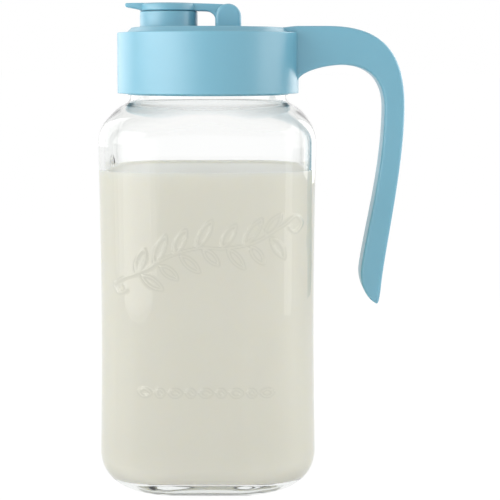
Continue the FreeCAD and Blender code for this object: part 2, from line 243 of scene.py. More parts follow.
def glass_outside():
    """The outer skin, from the hollow under the base to the lip."""
    piece = square_ring("glass_jar", FLAT / 2 - HEEL, 0)
    bpy.ops.mesh.select_mode(type="FACE")
    bpy.ops.mesh.select_all(action="SELECT")
    bpy.ops.mesh.inset(thickness=2 * MM)
    carry(piece, [
        (PUNT + 2, 0, 0.6), (PUNT, 0.15, 1.0), (PUNT - 1.2, 0.8), (PUNT - 3, 1.4), (PUNT - 6, PUNT_DEPTH),
        (14.0, PUNT_DEPTH), (7.0, PUNT_DEPTH), (2.0, PUNT_DEPTH),
    ])
    bpy.ops.mesh.select_mode(type="EDGE")
    open_edges(piece)
    carry(piece, heel_rings(FLAT / 2, HEEL, 0))
    carry(piece, wall_rings(FLAT / 2, HEEL, SHOULDER_START, OUTER_RINGS))
    carry(piece, shoulder_rings(FLAT / 2, SHOULDER, 62))
    carry(piece, neck_rings(NECK_TURN, 55))
    carry(piece, [(NECK, NECK_STRAIGHT)])
    carry(piece, [(NECK + out, THREAD_MIDDLE - under) for out, under in THREAD])
    carry(piece, [(NECK + out, THREAD_MIDDLE + above) for out, above in reversed(THREAD)])
    carry(piece, [(NECK - back, RIM - under) for back, under in LIP])
    done()
    return piece


def glass_inside():
    """The room for the milk, from the inner floor to the lip, its faces turned inwards."""
    half = FLAT / 2 - WALL
    piece = square_ring("glass_room", half - INNER_HEEL, FLOOR)
    bpy.ops.mesh.select_mode(type="EDGE")
    open_edges(piece)
    carry(piece, heel_rings(half, INNER_HEEL, FLOOR))
    carry(piece, wall_rings(half, FLOOR + INNER_HEEL, SHOULDER_START, INNER_RINGS))
    carry(piece, shoulder_rings(half, SHOULDER - THIN, 60))
    carry(piece, neck_rings(NECK_TURN + NECK - MOUTH, 52))
    carry(piece, [(MOUTH, MOUTH_STRAIGHT)])
    carry(piece, [(MOUTH + back, RIM - under) for back, under in LIP])
    bpy.ops.mesh.select_all(action="SELECT")
    bpy.ops.mesh.flip_normals()
    done()
    return piece


def wall_curve(name, strokes, turn, place, depth):
    """A ribbon along drawn strokes that passes through the wall of the glass."""
    data = bpy.data.curves.new(name, "CURVE")
    data.dimensions = "2D"
    data.fill_mode = "NONE"
    data.extrude = depth * MM
    data.resolution_u = 10
    for points, closed in strokes:
        spline = data.splines.new("BEZIER")
        spline.bezier_points.add(len(points) - 1)
        spline.use_cyclic_u = closed
        for knot, (at, before, after) in zip(spline.bezier_points, points):
            knot.co = (at[0] * MM, at[1] * MM, 0)
            knot.handle_left = (before[0] * MM, before[1] * MM, 0)
            knot.handle_right = (after[0] * MM, after[1] * MM, 0)
    return made_mesh(bpy.data.objects.new(name, data), turn, place)


def made_mesh(thing, turn, place):
    """Turns a curve or text into a mesh, then puts it in its place."""
    bpy.context.scene.collection.objects.link(thing)
    only(thing)
    bpy.ops.object.convert(target="MESH")
    thing.rotation_euler = turn
    thing.location = [length * MM for length in place]
    only(thing)
    bpy.ops.object.transform_apply(location=True, rotation=True, scale=True)
    return thing


def leaf(x, z, angle, length, width):
    """The outline of a pointed leaf, from its foot in the direction of the angle."""
    along = Vector((cos(radians(angle)), sin(radians(angle))))
    side = Vector((-along.y, along.x))
    foot = Vector((x, z))
    tip = foot + along * length

    def belly(share, out):
        return foot + along * length * share + side * width * out

    return ([(foot, belly(0.25, -0.5), belly(0.25, 0.5)), (tip, belly(0.72, 0.5), belly(0.72, -0.5))], True)


def loose_line(points, sway=0.33):
    """An open stroke that runs smoothly through its points."""
    knots = [Vector(point) for point in points]
    line = []
    for i, at in enumerate(knots):
        before = knots[max(i - 1, 0)]
        after = knots[min(i + 1, len(knots) - 1)]
        slope = (after - before) * sway * 0.5 * (2 if i in (0, len(knots) - 1) else 1)
        line.append((at, at - slope, at + slope))
    return (line, False)


def sprig():
    """A leafy sprig that lies along the front of the jar, with a curl at each end."""
    stem = [(-40, 113), (-30, 117), (-18, 124), (-4, 128), (10, 128), (24, 131), (38, 139)]
    right_curl = [(38, 139), (44, 143), (47, 139), (44, 135), (41, 137)]
    left_curl = [(-40, 113), (-45, 109), (-43, 105), (-39, 107), (-40, 109)]
    leaf_feet = [(-34, 115), (-25, 120), (-15, 125), (-4, 128), (8, 128), (19, 129.5), (29, 133.5)]
    strokes = [loose_line(stem), loose_line(right_curl), loose_line(left_curl)]
    for i, (x, z) in enumerate(leaf_feet):
        strokes.append(leaf(x, z + 0.8, 70 - 3 * i, 12.5 + (i % 2) * 2, 5.6))
        strokes.append(leaf(x + 3, z - 0.6, -34 - 4 * i, 12 - (i % 2) * 1.5, 5.2))
    return strokes


def bead_row():
    """A row of long and short lozenges, low on the front of the jar."""
    strokes = []
    for i in range(9):
        middle = -30 + 7.5 * i
        half = 3.0 if i % 2 == 0 else 2.0
        strokes.append(leaf(middle - half, 56.5, 0, 2 * half, 5.0))
    return strokes


def bar(height):
    """A measuring bar."""
    return loose_line([(-7, height), (7, height)])


# Litres and the height of their bar.
MEASURES = (("0.25", 33.75), ("0.5", 58.95), ("1.0", 109.45), ("1.5", 159.8))
NUMERAL_SIZE = 8.5
NUMERAL_LIFT = 2.2
# How far the raised strokes spread to each side of a full-height core, and how far they stand out.
STROKE_CORE = 0.25
FRONT_REACH, FRONT_PROUD = 1.15, 0.55
SIDE_REACH, SIDE_PROUD = 0.95, 0.7
FINER = 3


def keep_painted_stroke_shade(piece, index):
    """Keeps, for the glass material, where the sides of the raised strokes are, as a mask for painted shade
    there.
    """
    sides = piece.data.attributes.get("stroke_side_shade") or piece.data.attributes.new("stroke_side_shade", "FLOAT", "POINT")
    for vertex in piece.data.vertices:
        for share in vertex.groups:
            if share.group == index:
                sides.data[vertex.index].value = 4 * share.weight * (1 - share.weight)


def raise_glass(piece, name, targets, zones, reach, proud):
    """Raises the glass along the strokes of its targets, once its zones are made finer."""
    edit(piece, "FACE")
    for test in zones:
        pick(piece, "FACE", lambda face: test(face.calc_center_median()))
        bpy.ops.mesh.subdivide(number_cuts=FINER)
    bpy.ops.mesh.select_all(action="DESELECT")
    pick(piece, "FACE", lambda face: any(test(face.calc_center_median()) for test in zones))
    group = piece.vertex_groups.new(name=name)
    piece.vertex_groups.active_index = group.index
    bpy.context.scene.tool_settings.vertex_group_weight = 1.0
    bpy.ops.object.vertex_group_assign()
    done()
    target = join(*targets)
    modifier(piece, "near", "VERTEX_WEIGHT_PROXIMITY", vertex_group=name, target=target,
             proximity_mode="GEOMETRY", proximity_geometry={"FACE"}, falloff_type="SMOOTH",
             min_dist=reach * MM, max_dist=STROKE_CORE * MM)
    modifier(piece, "proud", "DISPLACE", direction="NORMAL", mid_level=0.0, strength=proud * MM,
             vertex_group=name)
    # Keeps the sides of the strokes as a mask that the glass material darkens as painted shade.
    keep_painted_stroke_shade(piece, piece.vertex_groups[name].index)
    piece.vertex_groups.remove(piece.vertex_groups[name])
    bpy.data.objects.remove(target)


def text_outline(words, size):
    """Numerals as a ribbon along their outline."""
    data = bpy.data.curves.new("numeral", "FONT")
    data.body = words
    data.size = size * MM
    data.align_x = "CENTER"
    data.fill_mode = "NONE"
    data.extrude = 6.0 * MM
    return bpy.data.objects.new("numeral", data)


def front_zone(depth, half, low, high):
    """Makes a test for places on the front of the jar, up to a half width and between two heights."""
    return lambda place: (
        place.y < -depth * MM and abs(place.x) < half * MM and low * MM < place.z < high * MM)


def beside_a_bar(place):
    """Whether a place is on the spout's side, at a measuring bar or its numeral."""
    return place.x < -50 * MM and abs(place.y) < 11 * MM and any(
        -2 * MM < place.z - height * MM < 10.5 * MM for _, height in MEASURES)


def glass_jar():
    """Both skins joined at the lip, with raised strokes on the front and on the spout's side."""
    piece = join(glass_outside(), glass_inside())
    edit(piece, "EDGE")
    open_edges(piece)
    bpy.ops.mesh.bridge_edge_loops()
    done()
    tidy_mesh(piece)
    face_front = (pi / 2, 0, 0)
    front = wall_curve("sprig", sprig(), face_front, place=(0, -50, 0), depth=14.0)
    row = wall_curve("row", bead_row(), face_front, place=(0, -50, 0), depth=12.0)
    zones = [
        front_zone(depth=35, half=50, low=101, high=147),
        front_zone(depth=45, half=36, low=52, high=61),
    ]
    raise_glass(piece, "front_relief", [front, row], zones, FRONT_REACH, FRONT_PROUD)
    face_left = (pi / 2, 0, -pi / 2)
    targets = []
    for words, height in MEASURES:
        targets.append(wall_curve("bar", [bar(height)], face_left, place=(-FLAT / 2, 0, 0), depth=5.0))
        numeral_place = (-FLAT / 2, 0, height + NUMERAL_LIFT)
        targets.append(made_mesh(text_outline(words, NUMERAL_SIZE), face_left, numeral_place))
    raise_glass(piece, "side_relief", targets, [beside_a_bar], SIDE_REACH, SIDE_PROUD)
    tidy_mesh(piece, 45)
    return piece


# ---------------------------------------------------------------- milk

MILK_LEVEL = 163.0
MILK_BITE = 0.15
MILK_FOOT = FLOOR + 0.08
MILK_RINGS = 22
# How far in from the wall the milk has climbed, and how high.
MENISCUS = (
    (0.0, 1.5), (0.35, 1.5), (0.7, 1.0), (1.3, 0.55), (2.1, 0.25), (3.2, 0.06), (5.0, 0.0), (9.0, 0.0),
)


def milk_fill():
    """The milk up to its level. It reaches just into the glass and climbs a little at the wall."""
    half = FLAT / 2 - WALL + MILK_BITE
    low = FLOOR + INNER_HEEL
    wide = half - waist_at(MILK_LEVEL, low)
    piece = square_ring("milk_fill", half - INNER_HEEL, MILK_FOOT)
    bpy.ops.mesh.select_mode(type="EDGE")
    open_edges(piece)
    carry(piece, heel_rings(half, low - MILK_FOOT, MILK_FOOT))
    carry(piece, wall_rings(half, low, MILK_LEVEL, MILK_RINGS))
    carry(piece, [(wide - inwards, MILK_LEVEL + climb) for inwards, climb in MENISCUS])
    carry(piece, [(middle, MILK_LEVEL) for middle in (28, 14, 3)])
    bpy.ops.mesh.edge_face_add()
    done()
    tidy_mesh(piece, 50)
    return piece


# ---------------------------------------------------------------- lid

LID_TOP = 235.85
LID_RADIUS = 46.7
LID_FOOT = 202.3
SKIRT_INSIDE = 44.4
LEDGE = 233.25
RAISED_FOOT = 41.9
RAISED = 39.3
SPOUT_X = -20.2
SPOUT = 14.8
SPOUT_BORE = 12.2
SPOUT_TOP = 244.05
HINGE_X = 10.5
HINGE_Z = 241.2
LUG = 6.6
LUG_IN = 7.4
LUG_OUT = 11.0
LUG_ROUNDING = 1.6
PIN = 2.2
PIN_HOLE = 2.25
PIN_REACH = 9.3
PIN_HOLE_DEPTH = 4.4
ROUND_SIDES = 160
SPOUT_SIDES = 96
INNER_RING = NECK + 1.2
RING_HOLE = NECK + 0.4
RING_DROP = 0.8


def ring_face(name, radius, height, x=0.0, sides=ROUND_SIDES):
    """A flat round face to start a round piece from."""
    return start("circle", name, vertices=sides, radius=radius * MM, fill_type="NGON",
                 location=(x * MM, 0, height * MM))


def lid_shell():
    """Skirt, ledge and raised roof, with a thin ring inside the skirt that ends just below its foot."""
    piece = ring_face("lid_shell", SKIRT_INSIDE - 2, RIM)
    edit(piece, "EDGE")
    open_edges(piece)
    carry(piece, [
        (SKIRT_INSIDE - 0.8, RIM - 0.3), (SKIRT_INSIDE, RIM - 1.2), (SKIRT_INSIDE, 214.0),
        (INNER_RING, 213.3), (INNER_RING, 210.6), (SKIRT_INSIDE - 1.6, 209.6), (SKIRT_INSIDE - 1.6, 206.0),
        (RING_HOLE, 205.0), (RING_HOLE, LID_FOOT - RING_DROP), (INNER_RING, LID_FOOT - RING_DROP),
        (INNER_RING, LID_FOOT), (LID_RADIUS, LID_FOOT), (LID_RADIUS, LEDGE), (RAISED_FOOT, LEDGE),
        (RAISED, LID_TOP),
    ])
    bpy.ops.mesh.edge_face_add()
    done()
    tidy_mesh(piece)
    bore = start("cylinder", "bore", vertices=SPOUT_SIDES, radius=SPOUT_BORE * MM, depth=12 * MM,
                 location=(SPOUT_X * MM, 0, LID_TOP * MM))
    cut_out(piece, bore)
    soften(piece, 0.45)
    tidy_mesh(piece)
    return piece


def lid_spout():
    """The pouring spout, with a soft lip."""
    piece = ring_face("lid_spout", SPOUT_BORE, RIM + 0.3, SPOUT_X, SPOUT_SIDES)
    edit(piece, "FACE")
    bpy.ops.mesh.select_all(action="SELECT")
    bpy.ops.mesh.delete(type="ONLY_FACE")
    bpy.ops.mesh.select_mode(type="EDGE")
    bpy.ops.mesh.select_all(action="SELECT")
    carry(piece, [
        (SPOUT - 1, RIM + 0.6), (SPOUT + 0.9, LID_TOP - 0.3), (SPOUT + 0.35, LID_TOP + 0.3),
        (SPOUT, LID_TOP + 1.0), (SPOUT, SPOUT_TOP - 1.0), (SPOUT, SPOUT_TOP), (SPOUT_BORE, SPOUT_TOP),
    ], SPOUT_X)
    open_edges(piece)
    bpy.ops.mesh.bridge_edge_loops()
    done()
    tidy_mesh(piece)
    soften(piece, 0.4)
    tidy_mesh(piece)
    return piece


def hinge_lug(name, side):
    """A plate with a round top. Its foot is let into the roof and the pin ends inside it."""
    thick = LUG_OUT - LUG_IN
    piece = start("cylinder", name, vertices=48, radius=LUG * MM, depth=thick * MM, rotation=(pi / 2, 0, 0),
                  location=(HINGE_X * MM, side * (LUG_IN + thick / 2) * MM, HINGE_Z * MM))
    edit(piece, "FACE")
    bpy.ops.mesh.select_all(action="SELECT")
    bpy.ops.mesh.bisect(plane_co=(0, 0, HINGE_Z * MM), plane_no=(0, 0, 1), clear_inner=True, use_fill=True)
    pick(piece, "FACE", lambda face: face.normal.z < -0.9 or (
        abs(face.normal.z) > 0.9 and abs(face.calc_center_median().z - HINGE_Z * MM) < 1e-5))
    bpy.ops.mesh.extrude_region_move(
        TRANSFORM_OT_translate={"value": (0, 0, (LID_TOP - 1.5 - HINGE_Z) * MM)})
    done()
    tidy_mesh(piece)
    soften(piece, LUG_ROUNDING, 5)
    hole = start("cylinder", "hole", vertices=40, radius=PIN_HOLE * MM, depth=PIN_HOLE_DEPTH * MM,
                 rotation=(pi / 2, 0, 0), location=(HINGE_X * MM, side * LUG_IN * MM, HINGE_Z * MM))
    cut_out(piece, hole)
    tidy_mesh(piece)
    return piece


def side_shape(name, knots, width, rounding):
    """An outline drawn from the front, given its width along Y and round edges."""
    data = bpy.data.curves.new(name, "CURVE")
    data.dimensions = "2D"
    data.fill_mode = "BOTH"
    data.extrude = (width / 2 - rounding) * MM
    data.bevel_depth = rounding * MM
    data.bevel_resolution = 4
    data.offset = -rounding * MM
    data.resolution_u = 22
    spline = data.splines.new("BEZIER")
    spline.bezier_points.add(len(knots) - 1)
    spline.use_cyclic_u = True
    for knot, (at, before, after) in zip(spline.bezier_points, knots):
        knot.co = (at[0] * MM, at[1] * MM, 0)
        knot.handle_left = (before[0] * MM, before[1] * MM, 0)
        knot.handle_right = (after[0] * MM, after[1] * MM, 0)
    piece = made_mesh(bpy.data.objects.new(name, data), (pi / 2, 0, 0), (0, 0, 0))
    tidy_mesh(piece)
    return piece


def corner(x, z):
    """A knot without a curve."""
    return ((x, z), (x, z), (x, z))


# The handle's outline from the front. FULLNESS is how far its bend swells towards the corner.
HANDLE_WIDTH = 20.0
HANDLE_ROUNDING = 1.6
FULLNESS = 0.7
CROWN = 236.6
REACH = 100.8
BULGE_Z = 194.85
INNER = 90.4
ARCH = (69.0, 216.8)
FOOT_OUT = (89.3, 100.65)
TIP = (86.9, 93.65)
FOOT_IN = (78.8, 109.65)
SEAT = 44.86
UNDER_ARM = (46.2, 209.4)
HANDLE_INNER = 42.9
OVER_ARM = (61.0, CROWN)
HANDLE_END = 37.2


def handle():
    """Arm, bend and grip in one strip whose root is let into the lid."""
    leg_out = BULGE_Z - FOOT_OUT[1]
    leg_in = BULGE_Z - FOOT_IN[1]
    rise = ARCH[1] - BULGE_Z
    knots = [
        ((SEAT + 1.5, CROWN), (SEAT - 2, CROWN - 0.1), (SEAT + 6, CROWN)),
        (OVER_ARM, (OVER_ARM[0] - 6, CROWN), (OVER_ARM[0] + FULLNESS * (REACH - OVER_ARM[0]), CROWN)),
        ((REACH, BULGE_Z), (REACH, BULGE_Z + FULLNESS * (CROWN - BULGE_Z)),
         (REACH, BULGE_Z - 0.33 * leg_out)),
        (FOOT_OUT, (FOOT_OUT[0] + 1.5, FOOT_OUT[1] + 0.21 * leg_out), (FOOT_OUT[0] - 0.6, FOOT_OUT[1] - 4)),
        (TIP, (TIP[0] + 1.5, TIP[1] - 0.8), (TIP[0] - 4.5, TIP[1] + 2.4)),
        (FOOT_IN, (FOOT_IN[0], FOOT_IN[1] - 7.5), (FOOT_IN[0] + 1.4, FOOT_IN[1] + 0.2 * leg_in)),
        ((INNER, BULGE_Z), (INNER, BULGE_Z - 0.4 * leg_in), (INNER, BULGE_Z + 0.6 * rise)),
        (ARCH, (ARCH[0] + 14.5, ARCH[1]), (ARCH[0] - 8, ARCH[1])),
        (UNDER_ARM, (UNDER_ARM[0] + 2.6, UNDER_ARM[1] + 4.6), (UNDER_ARM[0] - 0.8, UNDER_ARM[1] - 1.4)),
        corner(HANDLE_INNER, UNDER_ARM[1] - 3.4),
        corner(HANDLE_INNER, LID_TOP - 4.2),
        corner(HANDLE_END - 2, LID_TOP - 4.2),
        ((HANDLE_END - 1, LID_TOP - 0.2), (HANDLE_END - 2, LID_TOP - 1), (HANDLE_END + 2, LID_TOP - 0.1)),
    ]
    return side_shape("handle", knots, HANDLE_WIDTH, HANDLE_ROUNDING)


# ---------------------------------------------------------------- flip cap

CAP = 15.1
CAP_UNDER = SPOUT_TOP + 0.3
CAP_TOP = CAP_UNDER + 4.0
CAP_LEFT = SPOUT_X - CAP
TAB_TIP = CAP_LEFT - 6.8
KNUCKLE = 4.7
PLUG_FIT = 0.6
TONGUE_WIDTH = 14.0
TONGUE_ROUNDING = 0.55


def cap_disc():
    """The round part over the spout, hollowed below into a ring that plugs the bore."""
    plug = SPOUT_BORE - PLUG_FIT
    piece = ring_face("flip_cap_top", plug - 1.8, CAP_UNDER - 0.02, SPOUT_X, SPOUT_SIDES)
    edit(piece, "EDGE")
    open_edges(piece)
    carry(piece, [
        (plug - 1.8, CAP_UNDER - 2.1), (plug - 1.4, CAP_UNDER - 2.5), (plug - 0.5, CAP_UNDER - 2.5),
        (plug, CAP_UNDER - 1.9), (plug, CAP_UNDER), (CAP - 0.5, CAP_UNDER), (CAP, CAP_UNDER + 0.5),
        (CAP, CAP_TOP - 1.5), (CAP - 0.35, CAP_TOP - 0.7), (CAP - 1.1, CAP_TOP - 0.25),
        (CAP - 2.3, CAP_TOP - 0.05), (CAP - 4, CAP_TOP),
    ], SPOUT_X)
    bpy.ops.mesh.edge_face_add()
    done()
    tidy_mesh(piece)
    return piece


def cap_tongue():
    """Thumb tab, arm and the round end at the hinge in one strip."""
    front = HINGE_X - LUG + 0.25
    low = HINGE_Z - KNUCKLE
    round_handle = 0.55 * KNUCKLE
    end = HINGE_X + KNUCKLE
    knots = [
        ((TAB_TIP + 0.9, CAP_TOP - 0.15), (TAB_TIP + 0.1, CAP_TOP - 0.2), (TAB_TIP + 6, CAP_TOP)),
        ((SPOUT_X, CAP_TOP - 0.04), (SPOUT_X - 8, CAP_TOP), (SPOUT_X + 8, CAP_TOP - 0.05)),
        ((HINGE_X + 0.3, CAP_TOP - 0.9), (HINGE_X - 6, CAP_TOP - 0.35), (HINGE_X + 2.9, CAP_TOP - 1.2)),
        ((end, HINGE_Z), (end, HINGE_Z + 0.75 * KNUCKLE), (end, HINGE_Z - round_handle)),
        ((HINGE_X, low), (HINGE_X + round_handle, low), (HINGE_X - 2.2, low)),
        ((front, HINGE_Z - 2.6), (front, HINGE_Z - 3.9), (front, HINGE_Z - 0.4)),
        ((front - 5.2, CAP_UNDER - 0.05), (front - 1.2, CAP_UNDER - 0.35), (front - 7, CAP_UNDER + 0.1)),
        ((CAP_LEFT + 6, CAP_UNDER + 0.1), (CAP_LEFT + 10, CAP_UNDER + 0.1),
         (CAP_LEFT + 3, CAP_UNDER + 0.1)),
        ((CAP_LEFT, CAP_TOP - 3.3), (CAP_LEFT + 1, CAP_TOP - 3.6), (CAP_LEFT - 2, CAP_TOP - 2.9)),
        ((TAB_TIP + 0.7, CAP_TOP - 2.2), (TAB_TIP + 2, CAP_TOP - 2.3), (TAB_TIP, CAP_TOP - 2.1)),
        ((TAB_TIP + 0.02, CAP_TOP - 1.2), (TAB_TIP, CAP_TOP - 1.6), (TAB_TIP, CAP_TOP - 0.6)),
    ]
    return side_shape("cap_tongue", knots, TONGUE_WIDTH, TONGUE_ROUNDING)


def flip_cap():
    """Disc, tongue and hinge pins in one."""
    pins = start("cylinder", "pins", vertices=40, radius=PIN * MM, depth=2 * PIN_REACH * MM,
                 rotation=(pi / 2, 0, 0), location=(HINGE_X * MM, 0, HINGE_Z * MM))
    soften(pins, 0.3)
    piece = cap_disc()
    for other in (cap_tongue(), pins):
        modifier(piece, "merge", "BOOLEAN", operation="UNION", solver="EXACT", object=other)
        bpy.data.objects.remove(other)
    tidy_mesh(piece)
    return piece


# ---------------------------------------------------------------- shared effects

# Where a Mix node keeps its colours and its plain numbers: the two inputs and the output of each.
COLOUR_A, COLOUR_B, COLOUR_OUT = 6, 7, 2
NUMBER_A, NUMBER_B, NUMBER_OUT = 2, 3, 0


def socket(group, name, kind, way, value=None):
    """Gives a node group an input or an output."""
    made = group.interface.new_socket(name=name, in_out=way, socket_type="NodeSocket" + kind)
    if value is not None:
        made.default_value = value


def node(tree, kind, **settings):
    """Adds a shader node."""
    made = tree.nodes.new("ShaderNode" + kind)
    for key, setting in settings.items():
        setattr(made, key, setting)
    return made


def noise(tree, place, scale, detail, roughness=0.5):
    """A soft pattern whose scale is a number or a socket."""
    made = node(tree, "TexNoise")
    made.inputs["Detail"].default_value = detail
    made.inputs["Roughness"].default_value = roughness
    if isinstance(scale, (int, float)):
        made.inputs["Scale"].default_value = scale
    else:
        tree.links.new(scale, made.inputs["Scale"])
    tree.links.new(place, made.inputs["Vector"])
    return made.outputs["Fac"]


def ranged(tree, source, low, high, out_low, out_high):
    """Carries a value from one range to another."""
    made = node(tree, "MapRange")
    for name, number in (("From Min", low), ("From Max", high), ("To Min", out_low), ("To Max", out_high)):
        if isinstance(number, (int, float)):
            made.inputs[name].default_value = number
        else:
            tree.links.new(number, made.inputs[name])
    tree.links.new(source, made.inputs["Value"])
    return made.outputs["Result"]


def cloudy_tint():
    """Two close colours in soft clouds, and a slow change of roughness."""
    group = bpy.data.node_groups.new("cloudy_tint", "ShaderNodeTree")
    socket(group, "Place", "Vector", "INPUT")
    socket(group, "Light Colour", "Color", "INPUT", (1, 1, 1, 1))
    socket(group, "Deep Colour", "Color", "INPUT", (0.9, 0.9, 0.9, 1))
    socket(group, "Cloud Scale", "Float", "INPUT", 20.0)
    socket(group, "Smooth", "Float", "INPUT", 0.3)
    socket(group, "Rough", "Float", "INPUT", 0.4)
    socket(group, "Colour", "Color", "OUTPUT")
    socket(group, "Roughness", "Float", "OUTPUT")
    put_in = group.nodes.new("NodeGroupInput")
    put_out = group.nodes.new("NodeGroupOutput")
    cloud = noise(group, put_in.outputs["Place"], put_in.outputs["Cloud Scale"], 4.0, 0.55)
    share = ranged(group, cloud, 0.3, 0.7, 0.0, 1.0)
    mix = node(group, "Mix", data_type="RGBA")
    group.links.new(share, mix.inputs["Factor"])
    group.links.new(put_in.outputs["Light Colour"], mix.inputs[COLOUR_A])
    group.links.new(put_in.outputs["Deep Colour"], mix.inputs[COLOUR_B])
    group.links.new(mix.outputs[COLOUR_OUT], put_out.inputs["Colour"])
    rough = ranged(group, cloud, 0.25, 0.75, put_in.outputs["Smooth"], put_in.outputs["Rough"])
    group.links.new(rough, put_out.inputs["Roughness"])
    return group


def moulded_skin():
    """The height of a moulded surface: long soft waves under a fine grain."""
    group = bpy.data.node_groups.new("moulded_skin", "ShaderNodeTree")
    socket(group, "Place", "Vector", "INPUT")
    socket(group, "Wave Scale", "Float", "INPUT", 30.0)
    socket(group, "Grain Scale", "Float", "INPUT", 1500.0)
    socket(group, "Grain Share", "Float", "INPUT", 0.3)
    socket(group, "Height", "Float", "OUTPUT")
    put_in = group.nodes.new("NodeGroupInput")
    put_out = group.nodes.new("NodeGroupOutput")
    wave = noise(group, put_in.outputs["Place"], put_in.outputs["Wave Scale"], 2.0)
    grain = noise(group, put_in.outputs["Place"], put_in.outputs["Grain Scale"], 2.0)
    mix = node(group, "Mix", data_type="FLOAT")
    group.links.new(put_in.outputs["Grain Share"], mix.inputs["Factor"])
    group.links.new(wave, mix.inputs[NUMBER_A])
    group.links.new(grain, mix.inputs[NUMBER_B])
    group.links.new(mix.outputs[NUMBER_OUT], put_out.inputs["Height"])
    return group


TINT = cloudy_tint()
SKIN = moulded_skin()


def place_group(tree, group, place, **values):
    """Puts a shared effect into a material, with its values."""
    made = tree.nodes.new("ShaderNodeGroup")
    made.node_tree = group
    tree.links.new(place, made.inputs["Place"])
    for name, number in values.items():
        made.inputs[name.replace("_", " ")].default_value = number
    return made


def mix_shaders(tree, share, first, second, end):
    """Mixes two shaders by a share into an input of the output node."""
    mix = node(tree, "MixShader")
    tree.links.new(share, mix.inputs["Fac"])
    tree.links.new(first.outputs[0], mix.inputs[1])
    tree.links.new(second.outputs[0], mix.inputs[2])
    tree.links.new(mix.outputs[0], end)


def material(name, light, deep, cloud, smooth, rough, wave, grain, share, strength, depth):
    """A Principled surface with the clouds and the skin that its finish asks for.

    The clouds run from light to deep and from smooth to rough. The skin's long waves and fine
    grain are mixed by a share, and raised by a strength and a depth in metres.
    """
    made = bpy.data.materials.new(name)
    made.use_nodes = True
    tree = made.node_tree
    shader = tree.nodes["Principled BSDF"]
    place = node(tree, "TexCoord").outputs["Object"]
    tint = place_group(tree, TINT, place, Light_Colour=(*light, 1), Deep_Colour=(*deep, 1),
                       Cloud_Scale=cloud, Smooth=smooth, Rough=rough)
    skin = place_group(tree, SKIN, place, Wave_Scale=wave, Grain_Scale=grain, Grain_Share=share)
    bump = node(tree, "Bump")
    bump.inputs["Strength"].default_value = strength
    bump.inputs["Distance"].default_value = depth
    tree.links.new(tint.outputs["Colour"], shader.inputs["Base Color"])
    tree.links.new(tint.outputs["Roughness"], shader.inputs["Roughness"])
    tree.links.new(skin.outputs["Height"], bump.inputs["Height"])
    tree.links.new(bump.outputs["Normal"], shader.inputs["Normal"])
    return made, tree, shader


def soft_inside(shader, shine, weight, radius, scale):
    """How strongly a surface shines, and how light spreads under it."""
    shader.inputs["Specular IOR Level"].default_value = shine
    shader.inputs["Subsurface Weight"].default_value = weight
    shader.inputs["Subsurface Radius"].default_value = radius
    shader.inputs["Subsurface Scale"].default_value = scale


def blue_plastic():
    """Light blue moulded plastic that lets a little light in."""
    made, _, shader = material(
        "blue_plastic", light=(0.162, 0.414, 0.532), deep=(0.152, 0.400, 0.516), cloud=18.0,
        smooth=0.31, rough=0.38, wave=26.0, grain=2600.0, share=0.35, strength=0.12, depth=0.0002)
    soft_inside(shader, shine=0.95, weight=0.35, radius=(0.6, 0.9, 1.0), scale=0.004)
    return made


def milk_white():
    """Milk, creamy white and soft inside."""
    made, _, shader = material(
        "milk_white", light=(0.780, 0.767, 0.684), deep=(0.768, 0.753, 0.668), cloud=14.0,
        smooth=0.285, rough=0.34, wave=18.0, grain=420.0, share=0.1, strength=0.05, depth=0.0002)
    soft_inside(shader, shine=0.5, weight=0.7, radius=(1.0, 0.9, 0.7), scale=0.008)
    return made


def clear_glass():
    """Clear soda glass, with painted shade that greys its edges as they turn from view and the sides of the
    raised strokes.

    Light from the lamps passes it, so that the milk behind is lit.
    """
    made, tree, shader = material(
        "clear_glass", light=(1.0, 1.0, 1.0), deep=(0.990, 0.996, 0.993), cloud=12.0,
        smooth=0.008, rough=0.018, wave=22.0, grain=260.0, share=0.08, strength=0.10, depth=0.0004)
    # Painted shade: the base colour darkens along the sides of the raised strokes.
    sides = node(tree, "Attribute", attribute_name="stroke_side_shade")
    shade = node(tree, "Mix", data_type="RGBA")
    shade.inputs[COLOUR_B].default_value = (0.80, 0.81, 0.80, 1)
    tree.links.new(sides.outputs["Fac"], shade.inputs["Factor"])
    tree.links.new(shader.inputs["Base Color"].links[0].from_socket, shade.inputs[COLOUR_A])
    # Painted shade: the base colour turns grey where the glass turns edge-on to the view.
    edge = node(tree, "LayerWeight")
    edge.inputs["Blend"].default_value = 0.5
    painted_edge_shade = node(tree, "Mix", data_type="RGBA")
    painted_edge_shade.inputs[COLOUR_B].default_value = (0.72, 0.74, 0.72, 1)
    tree.links.new(ranged(tree, edge.outputs["Facing"], 0.30, 0.95, 0.0, 1.0), painted_edge_shade.inputs["Factor"])
    tree.links.new(shade.outputs[COLOUR_OUT], painted_edge_shade.inputs[COLOUR_A])
    tree.links.new(painted_edge_shade.outputs[COLOUR_OUT], shader.inputs["Base Color"])
    shader.inputs["Transmission Weight"].default_value = 1.0
    shader.inputs["IOR"].default_value = 1.5
    clear = node(tree, "BsdfTransparent")
    clear.inputs["Color"].default_value = (0.95, 0.96, 0.955, 1)
    shadow = node(tree, "LightPath").outputs["Is Shadow Ray"]
    ends = tree.nodes["Material Output"].inputs
    mix_shaders(tree, shadow, shader, clear, ends["Surface"])
    depth = node(tree, "VolumeAbsorption")
    depth.inputs["Color"].default_value = (0.80, 0.83, 0.81, 1)
    depth.inputs["Density"].default_value = 9.0
    tree.links.new(depth.outputs[0], ends["Volume"])
    return made


# ---------------------------------------------------------------- put together

def wear(piece, finish):
    """Gives a piece its finish."""
    piece.data.materials.clear()
    piece.data.materials.append(finish)


GLASS = clear_glass()
MILK = milk_white()
BLUE = blue_plastic()

